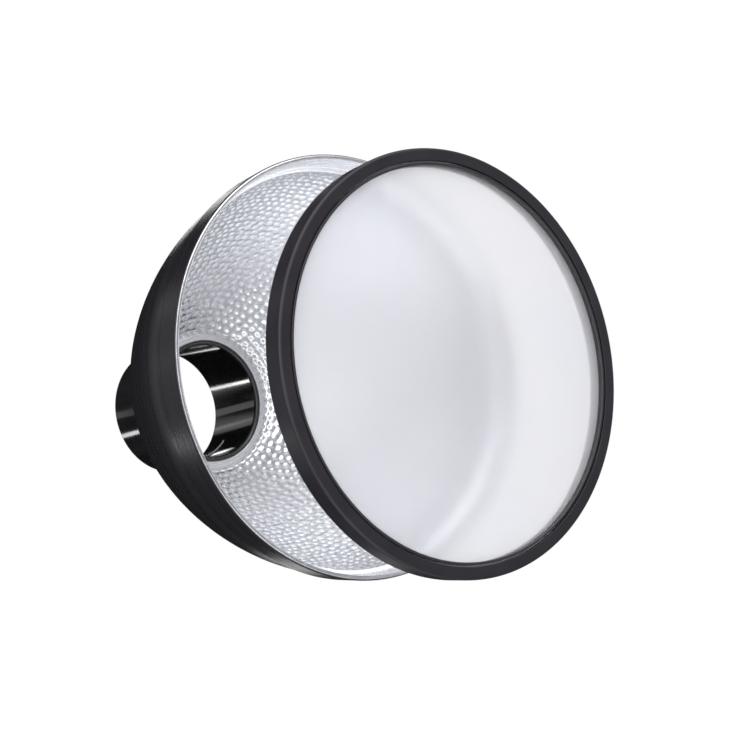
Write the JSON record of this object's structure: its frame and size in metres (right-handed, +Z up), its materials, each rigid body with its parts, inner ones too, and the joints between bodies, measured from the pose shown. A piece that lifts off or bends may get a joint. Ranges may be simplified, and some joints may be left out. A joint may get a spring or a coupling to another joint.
{
  "type": "flash reflector",
  "caption": "Round bowl-shaped flash reflector with a hammered silver inside, a black neck collar and a frosted diffuser cap that pushes into its mouth.",
  "frame": {"origin": "centre of the neck collar's rear end, on the reflector's axis", "axes": "+Y along the axis out of the rear of the neck, so the mouth faces -Y; +Z up"},
  "size_m": [0.125, 0.1429, 0.1289],
  "materials": {
    "hammered_aluminium": "bright hammered inside, satin black lacquer outside",
    "black_lacquer": "satin black over spinning lines",
    "gloss_black_metal": "gloss black",
    "black_rubber": "satin moulded rubber",
    "black_plastic": "semi-gloss",
    "frosted_plastic": "translucent frosted white"
  },
  "bodies": {
    "reflector": {"bowl_shell": "hammered_aluminium", "neck_collar": "gloss_black_metal"},
    "diffuser_cap": {"cap_ring": "black_rubber", "disc_retainer": "black_plastic", "diffuser_disc": "frosted_plastic"}
  },
  "joints": [
    {"name": "cap_push_in", "type": "slide", "parent": "reflector", "child": "diffuser_cap", "axis": [0, 0.991, 0.1342], "range_m": [0, 0.0447]}
  ]
}
